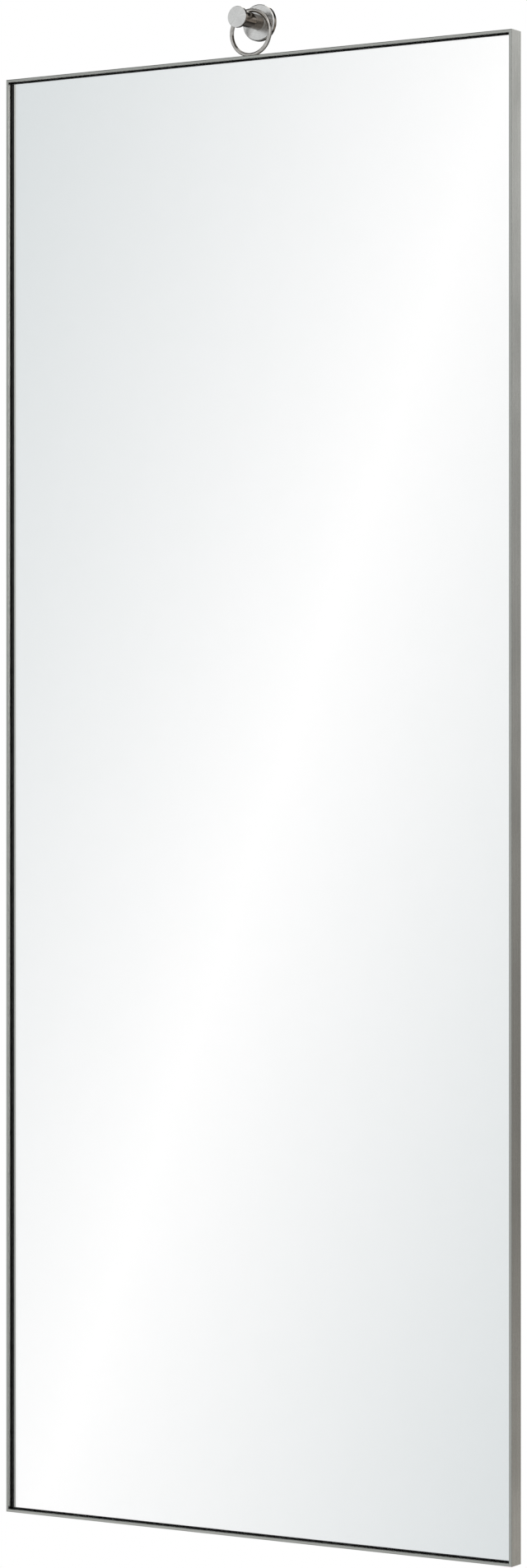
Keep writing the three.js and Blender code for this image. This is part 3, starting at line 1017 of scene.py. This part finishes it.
def make_wall():
    """The white wall that the plug is sunk in. It shows from the front only, and takes and gives no light."""
    material, shader = new_material("white_wall")
    behind = shader.add("ShaderNodeNewGeometry").outputs["Backfacing"]
    white = shader.add("ShaderNodeEmission", {"Color": WHITE})
    clear = shader.add("ShaderNodeBsdfTransparent")
    shader.surface("ShaderNodeMixShader", {0: behind, 1: white.outputs[0], 2: clear.outputs[0]})
    wall = backdrop("wall", material, (0, WALL_GAP, 0), (math.pi / 2, 0, 0))
    wall.visible_diffuse = False
    wall.visible_shadow = False


def striped_wall(shader, way):
    """What the mirror shows: soft slanting stripes, white in the middle and pale blue-grey between."""
    mirrored = Vector((to_the_right.x, -to_the_right.y, 0))
    across = mirrored * math.cos(STRIPE_SLANT) + Vector((0, 0, -math.sin(STRIPE_SLANT)))
    offset = shader.math("SUBTRACT", shader.dot(way, across), STRIPE_MIDDLE)
    off_middle = shader.math("PINGPONG", offset, STRIPE_SPACING / 2)
    share = shader.math("DIVIDE", off_middle, STRIPE_SPACING / 2)
    shade_share = SHADE_PLACE / (STRIPE_SPACING / 2)
    return shader.ramp(share, (0.0, grey(1.0)), (shade_share, STRIPE_SHADE), (1.0, BETWEEN_STRIPES))


def upright_strip(shader, way, azimuth, half_width, soft_width):
    """1 in a tall strip of the room in a level direction, and 0 outside it."""
    towards = Vector((math.sin(azimuth), math.cos(azimuth), 0))
    sideways = Vector((math.cos(azimuth), -math.sin(azimuth), 0))
    off_middle = shader.math("ABSOLUTE", shader.dot(way, sideways))
    inside = shader.spread(off_middle, 1.0, 0.0, from_low=half_width, from_high=half_width + soft_width)
    ahead = shader.spread(shader.dot(way, towards), 0.0, 1.0, from_low=0.2, from_high=0.5)
    return shader.times(inside, ahead)


def room_walls(shader, way, sideways, height):
    """A striped wall in front, a pale floor, grey ceiling and side walls, a light box, the rest dark."""
    ceiling = shader.spread(height, 0.0, 1.0, from_low=0.78, from_high=0.9)
    sides = shader.spread(shader.math("ABSOLUTE", sideways), 0.0, 1.0, from_low=0.86, from_high=0.94)
    behind = shader.spread(shader.dot(way, (0, 1, 0)), 0.0, 1.0, from_low=-0.25, from_high=0.05)
    upwards = shader.spread(height, 0.0, 1.0, from_low=0.45, from_high=0.7)
    downwards = shader.spread(height, 1.0, 0.0, from_low=-0.7, from_high=-0.4)
    box = shader.spread(shader.dot(way, LIGHT_BOX_WAY), 0.0, 1.0, from_low=0.8, from_high=0.92)
    plain = shader.mix(shader.math("MAXIMUM", ceiling, sides), opaque(ROOM_DARK), opaque(ROOM_GREY))
    walls = shader.mix(shader.math("MAXIMUM", behind, upwards), striped_wall(shader, way), plain)
    walls = shader.mix(downwards, walls, opaque(ROOM_FLOOR))
    return shader.mix(box, walls, opaque(LIGHT_BOX))


def reflected_room(shader):
    """What metal and glass see: the walls, and on the right two tall light strips, one in front of the
    mirror's plane and one behind it."""
    way = shader.add("ShaderNodeTexCoord").outputs["Generated"]
    sideways, _, height = shader.add("ShaderNodeSeparateXYZ", {0: way}).outputs
    walls = room_walls(shader, way, sideways, height)
    level = shader.spread(shader.math("ABSOLUTE", height), 1.0, 0.0, from_low=0.25, from_high=0.4)
    rear = upright_strip(shader, way, VIEW_TURN, 0.19, 0.07)
    rear_share = shader.spread(height, 0.0, 1.0, from_low=-REAR_HEIGHT, from_high=REAR_HEIGHT)
    with_rear = shader.mix(shader.times(rear, level), walls, shader.ramp(rear_share, *REAR_LIGHT))
    front = upright_strip(shader, way, math.pi - VIEW_TURN, 0.15, 0.08)
    front_light = shader.math("EXPONENT", shader.times(height, FRONT_RISE))
    return shader.mix(shader.times(front, level), with_rear, front_light)


def make_room():
    """Plain light for matt surfaces, white behind the object, and the reflected room for metal and glass."""
    world = bpy.data.worlds.new("room")
    scene.world = world
    shader = Shader(world)
    path = shader.add("ShaderNodeLightPath").outputs
    in_gloss = shader.math("MAXIMUM", path["Is Glossy Ray"], path["Is Transmission Ray"])
    plain = shader.add("ShaderNodeBackground", {"Strength": PLAIN_LIGHT})
    gloss = shader.add("ShaderNodeBackground", {"Color": reflected_room(shader), "Strength": GLOSS_LIGHT})
    white = shader.add("ShaderNodeBackground", {"Color": WHITE})
    lit = shader.add("ShaderNodeMixShader", {0: in_gloss, 1: plain.outputs[0], 2: gloss.outputs[0]})
    seen = shader.add(
        "ShaderNodeMixShader", {0: path["Is Camera Ray"], 1: lit.outputs[0], 2: white.outputs[0]})
    output = shader.add("ShaderNodeOutputWorld")
    shader.tree.links.new(seen.outputs[0], output.inputs["Surface"])


def add_lamp(name, place, target, size, radiance, tint=(1.0, 1.0, 1.0)):
    """A soft box that the camera doesn't see. Its radiance is how bright its face looks in metal."""
    lamp = bpy.data.lights.new(name, "AREA")
    lamp.shape = "RECTANGLE"
    lamp.size, lamp.size_y = size
    lamp.energy = radiance * size[0] * size[1] * math.pi
    lamp.color = tint
    holder = bpy.data.objects.new(name, lamp)
    holder.location = place
    holder.rotation_euler = (Vector(target) - Vector(place)).to_track_quat("-Z", "Y").to_euler()
    holder.visible_camera = False
    scene.collection.objects.link(holder)


def light_boxes():
    """One lights the front from the upper right. The other, behind on the left, lights the top edges."""
    upper_front = (1.6, -2.0, 1.9)
    upper_rear = (-0.96, 2.02, 0.88)
    warm = (1.0, 0.98, 0.93)
    add_lamp("key_box", upper_front, target=(0, 0, -0.4), size=(1.2, 1.0), radiance=1.3)
    add_lamp("rim_box", upper_rear, target=(0, 0, 0), size=(0.7, 0.7), radiance=3.0, tint=warm)


make_floor()
make_wall()
make_room()
light_boxes()
